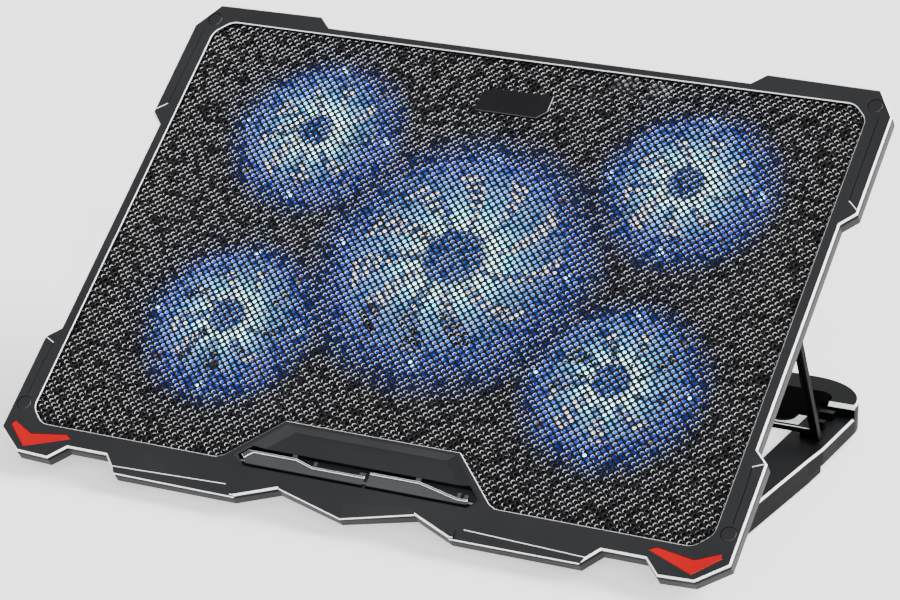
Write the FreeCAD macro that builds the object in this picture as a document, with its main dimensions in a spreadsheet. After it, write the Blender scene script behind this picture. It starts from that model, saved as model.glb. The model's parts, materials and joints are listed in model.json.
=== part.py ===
"""Laptop cooling pad on a folding stand.

The pad lies in its own frame: X right, Y back along the pad, Z out of its top face, with
the origin on the top face at the middle of the front edge. Every piece of the pad is drawn
there and then placed at the resting tilt. The stand is drawn in the part's own frame:
X right, Y back, Z up, origin on the table below the middle of the object.
"""
import FreeCAD
import Part
import math
import os

import Sketcher
from FreeCAD import Placement, Rotation, Vector

SIZES = {
    # resting pose and the hinge between the stand and the pad
    "tilt": 38.0, "hinge_back": 94.0, "hinge_height": 9.5, "hinge_v": 27.0, "hinge_depth": 25.5,
    # outline of the pad, right half, from the front tip round to the rear notch
    "lip_y": -2.6, "tuck_x": 38.4, "tuck_y": 7.0, "apron_in_x": 61.0, "apron_out_x": 130.6,
    "apron_y": -2.1, "step_in_x": 139.2, "step_out_x": 162.6, "step_y": 7.4, "toe_in_x": 171.2,
    "toe_in_y": -0.8, "toe_out_x": 190.2, "side_x": 205.0, "side_front_y": 11.9,
    "waist_a_y": 69.7, "waist_b_y": 76.4, "waist_x": 197.9, "waist_c_y": 212.0,
    "waist_d_y": 219.5, "shoulder_y": 281.0, "heel_x": 194.4, "heel_y": 296.8,
    "tail_x": 131.4, "tail_y": 297.6, "rear_x": 124.1, "rear_y": 290.9,
    # heights below the top face
    "frame_thick": 3.2, "edge_bevel": 0.9, "rim_depth": 9.0, "tub_depth": 12.8,
    "shell_floor": 1.8, "tub_floor": 1.4, "shell_bevel": 1.2,
    # opening for the mesh, its rebate and the mesh itself
    "mesh_x": 191.6, "mesh_front": 18.4, "mesh_rear": 286.0, "mesh_cut": 8.4, "mesh_round": 9.0,
    "mesh_bevel": 0.4, "notch_x": 78.6, "notch_mid_x": 74.7, "notch_mid_y": 20.4,
    "notch_top_x": 49.4, "notch_top_y": 45.7, "rebate": 3.0, "lip_thick": 1.6,
    "mesh_thick": 0.7, "mesh_gap": 0.3,
    # front tray: rim, floor, the pan moulded below it and the slot for the stoppers
    "tray_x": 64.0, "tray_front": 15.6, "tray_mid_x": 70.0, "tray_mid_y": 21.3,
    "tray_top_x": 47.9, "tray_rear": 43.4, "floor_x": 63.6, "floor_front": 16.4,
    "floor_mid_x": 66.2, "floor_mid_y": 17.2, "floor_top_x": 42.7, "floor_rear": 40.7,
    "tray_deep": 1.9, "pan_x": 64.4, "pan_front": 14.2, "pan_mid_x": 71.0, "pan_mid_y": 20.7,
    "pan_top_x": 49.2, "pan_rear": 42.5, "pan_top": 1.0, "pan_floor": 1.4,
    "slot_x": 63.0, "slot_front": 16.9, "slot_mid_x": 67.7, "slot_mid_y": 21.9,
    "slot_top_x": 61.1, "slot_rear": 28.5, "slot_deep": 5.2,
    # flip-up stoppers and the pins that they turn on
    "stop_top": 1.2, "stop_thick": 2.7, "stop_rail": 0.5, "stop_edge": 0.3, "stop_axis_y": 19.9,
    "stop_axis_z": 2.55, "stop_pin_r": 0.7, "stop_pin_end": 67.2, "post_left": 4.9,
    "post_right": 6.3, "post_rear": 22.4, "post_top": 1.6,
    # creases of the bezel: sloping facets at the front edge and fine grooves
    "facet_edge": 0.5, "lip_fall": 0.27, "lip_in_y": 5.4, "lip_end_x": 38.3, "lip_end_y": 10.9,
    "apron_fall": 0.3, "apron_a_x": 67.0, "apron_a_y": 3.8, "apron_b_x": 133.9,
    "apron_b_y": 1.6, "groove_wide": 0.5, "groove_deep": 0.55,
    "crease_deep": 0.22,
    # small trim on the top face
    "accent_thick": 0.8, "accent_edge": 0.3, "badge_x": 20.6, "badge_front": 250.6,
    "badge_rear": 266.0, "badge_cut": 5.0, "badge_low": 0.4, "cap_r": 3.9, "cap_thick": 0.6,
    "cap_gap": 0.25, "cap_front_x": 198.6, "cap_front_y": 28.4, "cap_rear_x": 194.2,
    "cap_rear_y": 286.4,
    # bottom shell
    "inner_x": 193.4, "inner_front": 22.0, "inner_rear": 285.8, "tub_x": 165.6, "tub_front": 21.4,
    "tub_rear": 284.0, "tub_wall": 1.8, "tray_room_x": 72.0, "tray_room_front": 13.8,
    # fans: centre of the corner fans and radii of both kinds
    "front_fan_x": 110.0, "front_fan_y": 103.0, "rear_fan_x": 108.0, "rear_fan_y": 226.0,
    "mid_fan_y": 160.0, "small_fan_r": 39.0, "large_fan_r": 62.0, "small_hub_r": 12.0,
    "large_hub_r": 18.0, "fan_wall": 2.4, "fan_bottom": 11.4, "fan_top": 3.4, "tip_gap": 0.7,
    "strut": 3.0, "plate_thick": 1.3, "bearing_r": 3.0, "shaft_r": 1.5, "running_gap": 0.05,
    "rotor_top": 4.4, "rotor_bottom": 9.2, "blade_thick": 1.0, "blade_sweep": 24.0,
    "blade_fill": 0.56, "cup_wall": 1.4, "ear_r": 3.8, "ear_out": 2.9, "ear_thick": 3.2,
    "screw_r": 1.2, "screw_gap": 0.05, "screw_head_r": 2.7, "screw_head": 1.4, "head_gap": 0.2,
    "led_r": 1.5, "led_tall": 3.0, "grille_slot": 3.6, "grille_land": 2.2, "grille_spoke": 2.6,
    # hub board, sockets and switches at the rear edge
    "board_left": 34.0, "board_right": 118.0, "board_front": 272.4, "board_rear": 281.4,
    "board_top": 8.5, "board_thick": 1.5, "board_screw_y": 274.6, "board_inset": 3.4,
    "post_r": 2.4, "port_front": 276.4, "port_rear": 290.5, "port_wide": 13.2, "port_tall": 5.0,
    "port_wall": 0.4, "port_a_x": 56.0, "port_b_x": 76.0,
    "rocker_x": 98.0, "rocker_wide": 10.0, "rocker_tall": 3.8, "rocker_axis_y": 288.4,
    "rocker_wall": 1.4, "rocker_pin_r": 0.8, "cut_rear": 300.0,
    "button_x": 112.0, "button_r": 1.6, "button_flange": 2.3, "button_wall": 2.4,
    # prop that holds the pad up
    "prop_v": 170.0, "prop_w": 9.6, "prop_length": 104.6, "prop_angle": 100.4,
    "channel_deep": 2.6, "channel_side": 2.6, "channel_front": 163.0, "eye_r": 2.6,
    "leg_x": 180.2, "leg_wide": 4.2, "leg_thick": 3.6, "leg_groove": 0.7, "foot_r": 2.2,
    "bar_up": 4.9, "bar_r": 1.9, "prop_pin_r": 1.2, "pin_fit": 0.02,
    "ear_gap": 0.4, "ear_wide": 4.4, "ear_round": 3.6,
    # stand, measured back from the hinge line
    "arm_out": 189.0, "arm_in": 165.0, "arm_front_x": 180.6, "arm_tall": 14.7, "arm_start": -3.0,
    "arm_widen": 126.0, "arm_step": 144.0, "heel_lift": 5.8, "bar_front": 205.5, "bar_rear": 226.0,
    "ear_tall": 21.7, "ear_start": 191.0, "ear_bevel": 2.0, "corner_r": 34.0, "mouth_x": 174.0,
    "mouth_r": 10.0, "arm_bevel": 1.0,
    "front_bar_a": 9.0, "front_bar_b": 31.0, "front_bar_tall": 12.5,
    "tooth_in": 172.0, "tooth_out": 179.8, "tooth_tall": 4.4, "tooth_thick": 4.4,
    "tooth_first": 154.2, "tooth_pitch": 14.2, "lug_r": 5.0, "lug_wide": 14.0, "lug_gap": 0.4,
    "lug_side": 7.6, "hinge_x": 120.0, "hinge_pin_r": 2.0, "pad_foot_r": 9.0, "pad_foot": 1.5,
    "foot_front_x": 174.0, "foot_front_y": 12.0, "foot_rear_x": 140.0, "foot_rear_y": 214.5,
}
# fans: place of the centre and kind
FANS = {
    "front_left": ("-front_fan_x", "front_fan_y", "small"),
    "front_right": ("front_fan_x", "front_fan_y", "small"),
    "rear_left": ("-rear_fan_x", "rear_fan_y", "small"),
    "rear_right": ("rear_fan_x", "rear_fan_y", "small"),
    "center": ("0", "mid_fan_y", "large"),
}
# red corner trim, right side
CHEVRON = [(200.2, 14.6), (198.4, 17.2), (186.6, 11.4), (166.2, 14.5), (162.2, 12.2), (187.6, 3.0)]
# stoppers seen from above: the bar, the rail raised along its rear edge, and its small tabs
STOPPERS = {
    "left": {
        "bar": [(-61.8, 18.2), (4.6, 18.2), (4.6, 23.0), (-25.5, 23.0), (-35.6, 25.9),
                (-62.9, 25.9), (-66.0, 22.8)],
        "rail": [(4.6, 21.8), (4.6, 23.0), (-25.5, 23.0), (-35.6, 25.9), (-62.9, 25.9),
                 (-66.0, 22.8), (-64.0, 20.8), (-60.0, 24.7), (-35.4, 24.7), (-25.3, 21.8)],
        "tabs": [(-38.2, -35.8, 25.0, 28.0), (-25.2, -23.4, 22.4, 26.0), (1.0, 4.4, 22.4, 25.0)],
    },
    "right": {
        "bar": [(6.6, 18.2), (62.4, 18.2), (62.4, 20.9), (56.5, 20.9), (34.4, 25.9), (6.6, 25.9)],
        "rail": [(6.6, 24.7), (34.2, 24.7), (56.3, 19.7), (62.4, 19.7), (62.4, 20.9),
                 (56.5, 20.9), (34.4, 25.9), (6.6, 25.9)],
        "tabs": [(31.4, 34.2, 25.0, 28.0), (56.0, 58.0, 20.2, 24.0), (60.0, 62.2, 20.2, 23.4)],
    },
}
# fine lines of the bezel, right half: deep grooves, and shallow creases that catch the light
LINES = {
    "groove": [[(198.1, 279.3), (198.4, 226.6)], [(198.2, 66.6), (198.9, 53.5), (198.9, 33.6)]],
    "crease": [[(67.0, 3.8), (133.9, 1.6)], [(198.4, 226.6), (204.0, 221.9)],
               [(198.2, 66.6), (204.6, 69.7)]],
}
# screws that join the two halves of the housing, right side
HOUSING_SCREWS = [(100.0, 6.5), (181.0, 8.5), (199.8, 50.0), (199.8, 250.0), (160.0, 291.6)]
BLADES = {"small": 9, "large": 11}

doc = FreeCAD.newDocument("CoolingPad")
sheet = doc.addObject("Spreadsheet::Sheet", "Sheet")
for row, (alias, number) in enumerate(SIZES.items(), start=1):
    sheet.set(f"A{row}", alias)
    sheet.set(f"B{row}", str(number))
    sheet.setAlias(f"B{row}", alias)
doc.recompute()

nodes = {}


def terms(text):
    """The signed names and numbers in a sum such as '-side_x + rebate'."""
    sign = 1
    for word in text.replace("-", " - ").replace("+", " + ").split():
        if word in "+-":
            sign = -1 if word == "-" else 1
        else:
            yield sign, word
            sign = 1


def size(text):
    """The value of a sum of sheet names and plain numbers."""
    return sum(sign * (SIZES[word] if word in SIZES else float(word)) for sign, word in terms(text))


def cells(text):
    """The same sum written as an expression on the spreadsheet."""
    parts = [("-" if sign < 0 else "+") + (f"Sheet.{word}" if word in SIZES else word)
             for sign, word in terms(text)]
    return " ".join(parts).lstrip("+")


def keep(label, item, placement=None):
    """Name a finished sub-part, which becomes one node."""
    item.Label = label
    if placement is not None:
        item.Placement = placement
    nodes[label] = item
    return item


def on_pad():
    """Placement of the pad's frame at the resting tilt."""
    turn = Rotation(Vector(1, 0, 0), SIZES["tilt"])
    hinge = Vector(0, -SIZES["hinge_back"], SIZES["hinge_height"])
    return Placement(hinge - turn.multVec(Vector(0, SIZES["hinge_v"], -SIZES["hinge_depth"])), turn)


# ---------------------------------------------------------------- sketches and features

def body(name):
    return doc.addObject("PartDesign::Body", name)


def sketch(owner, name, level="0", plane="XY_Plane"):
    """An empty sketch on one of the body's origin planes, raised by a bound distance."""
    item = owner.newObject("Sketcher::SketchObject", name)
    origin = next(f for f in owner.Origin.OriginFeatures if f.Role == plane)
    item.AttachmentSupport = [(origin, "")]
    item.MapMode = "FlatFace"
    item.setExpression(".AttachmentOffset.Base.z", cells(level))
    return item


def pin_point(item, geometry, end, x_text, y_text):
    """Fix one point of a sketch at a bound place."""
    for kind, text in (("DistanceX", x_text), ("DistanceY", y_text)):
        number = item.addConstraint(Sketcher.Constraint(kind, -1, 1, geometry, end, size(text)))
        item.setExpression(f"Constraints[{number}]", cells(text))


def polygon(item, points):
    """A closed outline through bound points."""
    corners = [Vector(size(x), size(y), 0) for x, y in points]
    first = item.GeometryCount
    for start, end in zip(corners, corners[1:] + corners[:1]):
        item.addGeometry(Part.LineSegment(start, end), False)
    count = len(points)
    for index, (x_text, y_text) in enumerate(points):
        following = first + (index + 1) % count
        item.addConstraint(Sketcher.Constraint("Coincident", first + index, 2, following, 1))
        pin_point(item, first + index, 1, x_text, y_text)


def circle(item, x_text, y_text, radius):
    """A circle at a bound place with a bound radius."""
    centre = Vector(size(x_text), size(y_text), 0)
    number = item.addGeometry(Part.Circle(centre, Vector(0, 0, 1), size(radius)), False)
    pin_point(item, number, 3, x_text, y_text)
    ring = item.addConstraint(Sketcher.Constraint("Radius", number, size(radius)))
    item.setExpression(f"Constraints[{ring}]", cells(radius))


def feature(owner, kind, name, profile, length):
    """A pad that grows upwards from its sketch, or a pocket that cuts upwards from it."""
    item = owner.newObject(f"PartDesign::{kind}", name)
    item.Profile = profile
    item.setExpression("Length", cells(length))
    item.Reversed = kind == "Pocket"
    before = owner.Shape.Volume if owner.Shape and not owner.Shape.isNull() else 0.0
    doc.recompute()
    changed = item.Shape.Volume - before
    if (changed <= 0.0) == (kind == "Pad"):
        raise RuntimeError(f"{name} of {owner.Name} does nothing")
    return item


def slab(owner, name, points, level, height, kind="Pad"):
    """Add or cut a straight-sided block between two heights."""
    outline = sketch(owner, name + "Sketch", level)
    polygon(outline, points)
    return feature(owner, kind, name, outline, height)


def bevel(owner, name, base, edges, width):
    item = owner.newObject("PartDesign::Chamfer", name)
    item.Base = (base, edges)
    item.setExpression("Size", cells(width))
    doc.recompute()
    return item


def edges_at(shape, height):
    """Names of the edges that lie wholly at one height."""
    return [f"Edge{number}" for number, edge in enumerate(shape.Edges, start=1)
            if all(abs(vertex.Z - height) < 1e-6 for vertex in edge.Vertexes)]


def negative(text):
    """The same sum with every sign turned round."""
    return " ".join(("+" if sign < 0 else "-") + word for sign, word in terms(text))


def mirrored(points):
    """A left-right symmetric outline from its right half, front to rear."""
    return points + [(negative(x), y) for x, y in reversed(points) if size(x) != 0.0]


def texts(points):
    """Plain points as sums that a sketch can bind."""
    return [(str(x), str(y)) for x, y in points]


def rectangle(x0, x1, y0, y1):
    return [(x0, y0), (x1, y0), (x1, y1), (x0, y1)]


# ---------------------------------------------------------------- plain shapes by code

UP = Vector(0, 0, 1)
RIGHT = Vector(1, 0, 0)


def box(x0, x1, y0, y1, z0, z1):
    return Part.makeBox(x1 - x0, y1 - y0, z1 - z0, Vector(x0, y0, z0))


def rod(radius, start, end):
    return Part.makeCylinder(radius, (end - start).Length, start, end - start)


def disc(radius, x, y, z0, z1):
    return Part.makeCylinder(radius, z1 - z0, Vector(x, y, z0), UP)


def joined(shapes):
    """One solid from overlapping shapes."""
    return shapes[0].multiFuse(shapes[1:]).removeSplitter()


def solid_node(label, shape, placement=None):
    """A node whose shape is set by code."""
    item = doc.addObject("Part::Feature", label)
    item.Shape = shape
    return keep(label, item, placement)


def boolean(kind, name, base, tools):
    """Part::Cut or Part::MultiFuse of finished objects."""
    item = doc.addObject(f"Part::{kind}", name)
    if kind == "Cut":
        item.Base, item.Tool = base, tools
    else:
        item.Shapes = [base] + tools
        item.Refine = True
    doc.recompute()
    return item


# ---------------------------------------------------------------- housing of the pad

OUTLINE = mirrored([
    ("0", "lip_y"), ("tuck_x", "tuck_y"), ("apron_in_x", "apron_y"), ("apron_out_x", "apron_y"),
    ("step_in_x", "step_y"), ("step_out_x", "step_y"), ("toe_in_x", "toe_in_y"),
    ("toe_out_x", "0"), ("side_x", "side_front_y"), ("side_x", "waist_a_y"),
    ("waist_x", "waist_b_y"), ("waist_x", "waist_c_y"), ("side_x", "waist_d_y"),
    ("side_x", "shoulder_y"), ("heel_x", "heel_y"), ("tail_x", "tail_y"), ("rear_x", "rear_y")])


def mesh_outline(grow):
    """The mesh opening, grown outwards by a sum of sizes; it bends round the front tray."""
    less = negative(grow)
    return mirrored([
        ("notch_top_x", f"notch_top_y {less}"), ("notch_mid_x", f"notch_mid_y {less}"),
        ("notch_x", f"mesh_front {less}"), ("mesh_x - mesh_cut", f"mesh_front {less}"),
        (f"mesh_x + {grow}", "mesh_front + mesh_cut"), (f"mesh_x + {grow}", "mesh_rear - mesh_cut"),
        ("mesh_x - mesh_cut", f"mesh_rear + {grow}")])


def falling_cut(start, end, fall, reach):
    """All that lies above a plane falling away to the right of a line, seen from above."""
    along = end - start
    out = Vector(along.y, -along.x, 0).normalize()
    drop = out * reach - UP * (reach * fall)
    face = Part.Face(Part.makePolygon([start, end, end + drop, start + drop, start]))
    return face.extrude(UP * (reach + 6.0))


def facet_cuts():
    """Sloping facets along the lip and the apron, each with a narrow bevel at its outer edge."""
    tip = Vector(0, SIZES["lip_in_y"], 0)
    lip_end = Vector(SIZES["lip_end_x"], SIZES["lip_end_y"], 0)
    apron_a = Vector(SIZES["apron_a_x"], SIZES["apron_a_y"], 0)
    apron_b = Vector(SIZES["apron_b_x"], SIZES["apron_b_y"], 0)
    facets = [(tip, lip_end, Vector(0, SIZES["lip_y"], 0), Vector(SIZES["tuck_x"], SIZES["tuck_y"], 0),
               SIZES["lip_fall"], (0.0, SIZES["lip_end_x"])),
              (apron_a, apron_b, Vector(SIZES["apron_in_x"], SIZES["apron_y"], 0),
               Vector(SIZES["apron_out_x"], SIZES["apron_y"], 0), SIZES["apron_fall"],
               (SIZES["apron_in_x"] - 1.0, SIZES["apron_b_x"]))]
    cuts = []
    for start, end, edge_a, edge_b, fall, (x0, x1) in facets:
        run = (end - start).normalize()
        out = Vector(run.y, -run.x, 0)
        across = (edge_b - edge_a).normalize()
        inset = Vector(-across.y, across.x, 0) * SIZES["facet_edge"]
        corners = []
        for corner in (edge_a - across * 4.0 + inset, edge_b + across * 4.0 + inset):
            corners.append(Vector(corner.x, corner.y, -fall * (corner - start).dot(out)))
        main = falling_cut(start - run * 4.0, end + run * 4.0, fall, 12.0)
        strip = falling_cut(*corners, 1.0, 3.0)
        window = box(x0, x1, -20.0, 20.0, -SIZES["frame_thick"] + 0.5, 20.0)
        cuts.append(main.fuse(strip).common(window))
    return cuts


def groove_cuts():
    """Fine V grooves, one prism for every straight run."""
    cuts = []
    for kind, paths in LINES.items():
        deep = SIZES[f"{kind}_deep"]
        for (x0, y0), (x1, y1) in (run for path in paths for run in zip(path, path[1:])):
            start, run = Vector(x0, y0, 0), Vector(x1 - x0, y1 - y0, 0)
            side = Vector(-run.y, run.x, 0).normalize() * SIZES["groove_wide"]
            section = [start - side + UP * deep, start + side + UP * deep, start - UP * deep]
            cuts.append(Part.Face(Part.makePolygon(section + section[:1])).extrude(run))
    return cuts


def both_sides(shapes):
    """The shapes together with their mirror images across the middle of the pad."""
    return shapes + [shape.mirror(Vector(0, 0, 0), RIGHT) for shape in shapes]


def tray_recess():
    """The recess of the tray, whose walls slope in from the rim to the floor."""
    def outline(names, level):
        half = [Vector(SIZES[x], SIZES[y], level) for x, y in names]
        points = half + [Vector(-p.x, p.y, p.z) for p in reversed(half)]
        return Part.makePolygon(points + points[:1])

    rim = (("tray_x", "tray_front"), ("tray_mid_x", "tray_mid_y"), ("tray_top_x", "tray_rear"))
    floor = (("floor_x", "floor_front"), ("floor_mid_x", "floor_mid_y"), ("floor_top_x", "floor_rear"))
    return Part.makeLoft([outline(rim, 0.0), outline(floor, -SIZES["tray_deep"])], True, True)


def cap_places():
    """Centres of the four round caps in the corners of the bezel."""
    for x, y in ((SIZES["cap_front_x"], SIZES["cap_front_y"]), (SIZES["cap_rear_x"], SIZES["cap_rear_y"])):
        for side in (1, -1):
            yield side * x, y


def frame_cuts():
    """Tray recess, creases, seats of the trim, pilot holes, and the bore of the stopper pins."""
    cuts = [tray_recess()] + both_sides(facet_cuts()) + both_sides(groove_cuts())
    for points in (CHEVRON, [(-x, y) for x, y in CHEVRON]):
        corners = [Vector(x, y, -SIZES["accent_thick"]) for x, y in points]
        cuts.append(Part.Face(Part.makePolygon(corners + corners[:1])).extrude(UP * 3))
    for x, y in cap_places():
        cuts.append(disc(SIZES["cap_r"] + SIZES["cap_gap"], x, y, -SIZES["cap_thick"], 1.0))
    for x, y in HOUSING_SCREWS:
        for side in (1, -1):
            cuts.append(disc(SIZES["screw_r"] + SIZES["screw_gap"], side * x, y,
                             -SIZES["frame_thick"] - 1, -SIZES["edge_bevel"]))
    axis = Vector(SIZES["stop_pin_end"] + 0.1, SIZES["stop_axis_y"], -SIZES["stop_axis_z"])
    cuts.append(rod(SIZES["stop_pin_r"] + SIZES["pin_fit"], Vector(-axis.x, axis.y, axis.z), axis))
    return Part.makeCompound(cuts)


def opening_edges(shape):
    """Names of the top edges round the mesh opening."""
    names = []
    for name in edges_at(shape, 0.0):
        bounds = shape.getElement(name).BoundBox
        if max(-bounds.XMin, bounds.XMax) < SIZES["mesh_x"] + 0.1 and bounds.YMin > SIZES["mesh_front"] - 0.1:
            names.append(name)
    return names


def corner_edges(shape):
    """Names of the upright edges in the four cut corners of the mesh opening."""
    reach, near = SIZES["mesh_x"] - SIZES["mesh_cut"] - 0.1, SIZES["mesh_x"] + 0.1
    names = []
    for number, edge in enumerate(shape.Edges, start=1):
        bounds = edge.BoundBox
        inside = SIZES["mesh_front"] - 0.1 < bounds.YMin < SIZES["mesh_rear"] + 0.1
        if bounds.DiagonalLength - bounds.ZLength < 1e-6 and reach < abs(bounds.XMin) < near and inside:
            names.append(f"Edge{number}")
    return names


def top_frame():
    """Moulded bezel with the front tray, bevelled all round its top edge."""
    part = body("TopFrame")
    plate = slab(part, "Plate", OUTLINE, "-frame_thick", "frame_thick")
    bevel(part, "EdgeBevel", plate, edges_at(plate.Shape, 0.0), "edge_bevel")
    pan = mirrored([("pan_x", "pan_front"), ("pan_mid_x", "pan_mid_y"), ("pan_top_x", "pan_rear")])
    slab(part, "TrayPan", pan, "-slot_deep - pan_floor", "slot_deep + pan_floor - pan_top")
    opening = slab(part, "MeshOpening", mesh_outline("0"), "-frame_thick", "frame_thick", "Pocket")
    rounding = part.newObject("PartDesign::Fillet", "OpeningCorners")
    rounding.Base = (opening, corner_edges(opening.Shape))
    rounding.setExpression("Radius", cells("mesh_round"))
    doc.recompute()
    bevel(part, "OpeningBevel", rounding, opening_edges(rounding.Shape), "mesh_bevel")
    slab(part, "MeshRebate", mesh_outline("rebate"), "-frame_thick",
         "frame_thick - lip_thick", "Pocket")
    slot = mirrored([("slot_x", "slot_front"), ("slot_mid_x", "slot_mid_y"), ("slot_top_x", "slot_rear")])
    slab(part, "StopperSlot", slot, "-slot_deep", "slot_deep", "Pocket")
    post = rectangle("post_left", "post_right", "slot_front - 0.5", "post_rear")
    slab(part, "PinPost", post, "-slot_deep", "slot_deep - post_top")
    cutter = doc.addObject("Part::Feature", "FrameCutter")
    cutter.Shape = frame_cuts()
    keep("top_frame", boolean("Cut", "TopFrameCut", part, cutter), on_pad())


def mesh_panel():
    """Flat metal mesh, clamped in the rebate under the bezel."""
    part = body("MeshPanel")
    outline = mesh_outline("rebate - mesh_gap")
    slab(part, "Sheet", outline, "-lip_thick - mesh_thick", "mesh_thick")
    keep("mesh_panel", part, on_pad())


def ring_slot(centre, inner, outer, start, end, tall):
    """An upright block over one sector of a ring, angles in degrees."""
    def spot(radius, angle):
        turn = math.radians(angle)
        return centre + Vector(radius * math.cos(turn), radius * math.sin(turn), 0)

    middle = (start + end) / 2
    edges = [Part.Arc(spot(outer, start), spot(outer, middle), spot(outer, end)).toShape(),
             Part.makeLine(spot(outer, end), spot(inner, end)),
             Part.Arc(spot(inner, end), spot(inner, middle), spot(inner, start)).toShape(),
             Part.makeLine(spot(inner, start), spot(outer, start))]
    return Part.Face(Part.Wire(edges)).extrude(UP * tall)


def fan_places():
    """Name, centre and kind of every fan."""
    for name, (x, y, kind) in FANS.items():
        yield name, size(x), size(y), kind


def ear_places(x, y, kind, first):
    """Centres of the four ears of a fan, the first at an angle in degrees."""
    reach = SIZES[f"{kind}_fan_r"] + SIZES["ear_out"]
    for quarter in range(4):
        turn = math.radians(first + 90 * quarter)
        yield x + reach * math.cos(turn), y + reach * math.sin(turn)


def shell_cuts():
    """Grille slots under the fans, screw holes, and the windows in the rear wall."""
    low, tall = -SIZES["tub_depth"] - 1.0, SIZES["tub_floor"] + 1.5
    slot, spoke = SIZES["grille_slot"], SIZES["grille_spoke"]
    hole = SIZES["screw_r"] + SIZES["screw_gap"]
    cuts = []
    for name, x, y, kind in fan_places():
        centre = Vector(x, y, low)
        radius = SIZES[f"{kind}_hub_r"] + 1.0
        while radius + slot < SIZES[f"{kind}_fan_r"] - SIZES["fan_wall"]:
            half = math.degrees(spoke / 2 / radius)
            for sector in range(6):
                start = 60 * sector + half
                cuts.append(ring_slot(centre, radius, radius + slot, start, start + 60 - 2 * half, tall))
            radius += slot + SIZES["grille_land"]
        for ear_x, ear_y in ear_places(x, y, kind, 45):
            cuts.append(disc(hole, ear_x, ear_y, low, low + tall))
    rim, head = -SIZES["rim_depth"], SIZES["screw_head"]
    for x, y in HOUSING_SCREWS:
        for side in (1, -1):
            cuts.append(disc(hole, side * x, y, rim - 1, 0))
            cuts.append(disc(SIZES["screw_head_r"] + SIZES["head_gap"], side * x, y, rim - 1,
                             rim + head + SIZES["head_gap"]))
    for x, y in board_screws():
        cuts.append(disc(hole, x, y, -SIZES["tub_depth"] + 1.1, 0))
    inner, outer = ear_span()
    for side in (1, -1):
        axis = Vector(side * inner, SIZES["prop_v"], -SIZES["prop_w"])
        cuts.append(rod(SIZES["prop_pin_r"] + SIZES["pin_fit"], axis, axis + RIGHT * side * (outer - inner)))
    top, port = -SIZES["frame_thick"], SIZES["port_wide"] / 2
    for x in (SIZES["port_a_x"], SIZES["port_b_x"]):
        cuts.append(box(x - port, x + port, SIZES["port_front"], SIZES["cut_rear"], -SIZES["board_top"], top))
    rocker = SIZES["rocker_wide"] / 2 + 2.0
    cuts.append(box(SIZES["rocker_x"] - rocker, SIZES["rocker_x"] + rocker, SIZES["port_front"],
                    SIZES["cut_rear"], -SIZES["board_top"], top))
    shoulder = SIZES["rear_y"] - SIZES["button_wall"]
    pocket, stem = SIZES["button_flange"] + 0.4, SIZES["button_r"] + 0.3
    for radius, start, end in ((pocket, SIZES["port_front"], shoulder), (stem, shoulder, SIZES["cut_rear"])):
        cuts.append(rod(radius, button_point(start), button_point(end)))
    return Part.makeCompound(cuts)


def button_point(y):
    """A point on the axis of the push button in the rear wall."""
    return Vector(SIZES["button_x"], y, -SIZES["frame_thick"] - SIZES["button_flange"] - 0.4)


def ear_span():
    """Distances from the middle of the pad to the two ends of a prop pin."""
    reach = SIZES["ear_gap"] + SIZES["ear_wide"]
    return SIZES["leg_x"] - reach, SIZES["leg_x"] + SIZES["leg_wide"] + reach


def bottom_shell():
    """Lower half of the housing: rim, fan tub, grilles, hinge lugs and prop ears."""
    part = body("BottomShell")
    rim = slab(part, "Rim", OUTLINE, "-rim_depth", "rim_depth - frame_thick")
    bevel(part, "RimBevel", rim, edges_at(rim.Shape, -SIZES["rim_depth"]), "shell_bevel")
    tub = rectangle("-tub_x", "tub_x", "tub_front", "tub_rear")
    slab(part, "Tub", tub, "-tub_depth", "tub_depth - rim_depth")
    inner = rectangle("-inner_x", "inner_x", "inner_front", "inner_rear")
    slab(part, "RimHollow", inner, "-rim_depth + shell_floor",
         "rim_depth - shell_floor - frame_thick", "Pocket")
    hollow = rectangle("-tub_x + tub_wall", "tub_x - tub_wall", "tub_front + tub_wall",
                       "tub_rear - tub_wall")
    slab(part, "TubHollow", hollow, "-tub_depth + tub_floor",
         "tub_depth - tub_floor - frame_thick", "Pocket")
    room = rectangle("-tray_room_x", "tray_room_x", "tray_room_front", "inner_front + 1")
    slab(part, "TrayRoom", room, "-rim_depth + shell_floor",
         "rim_depth - shell_floor - frame_thick", "Pocket")
    for side, sign in (("Left", "-"), ("Right", "")):
        near, far = "leg_x - channel_side", "leg_x + leg_wide + channel_side"
        if sign:
            near, far = negative(far), negative(near)
        over = rectangle(near, far, "channel_front - 2", "inner_rear")
        slab(part, f"{side}ChannelRoof", over, "-rim_depth + shell_floor", "channel_deep")
        near, far = "leg_x - ear_gap", "leg_x + leg_wide + ear_gap"
        if sign:
            near, far = negative(far), negative(near)
        channel = rectangle(near, far, "channel_front", "prop_v + prop_length + foot_r + 1")
        slab(part, f"{side}Channel", channel, "-rim_depth", "channel_deep", "Pocket")
    added = doc.addObject("Part::Feature", "ShellLugs")
    added.Shape = Part.makeCompound(pad_lugs() + board_posts())
    solid = boolean("MultiFuse", "ShellWithLugs", part, [added])
    cutter = doc.addObject("Part::Feature", "ShellCutter")
    cutter.Shape = shell_cuts()
    keep("bottom_shell", boolean("Cut", "BottomShellCut", solid, cutter), on_pad())


def lug(x0, x1, y, z, reach, radius, bore):
    """A hinge lug with a round end at its bore, standing up to a given height."""
    block = box(x0, x1, y - radius, y + radius, z, reach)
    shape = joined([block, rod(radius, Vector(x0, y, z), Vector(x1, y, z))])
    return shape.cut(rod(bore, Vector(x0 - 1, y, z), Vector(x1 + 1, y, z)))


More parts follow.
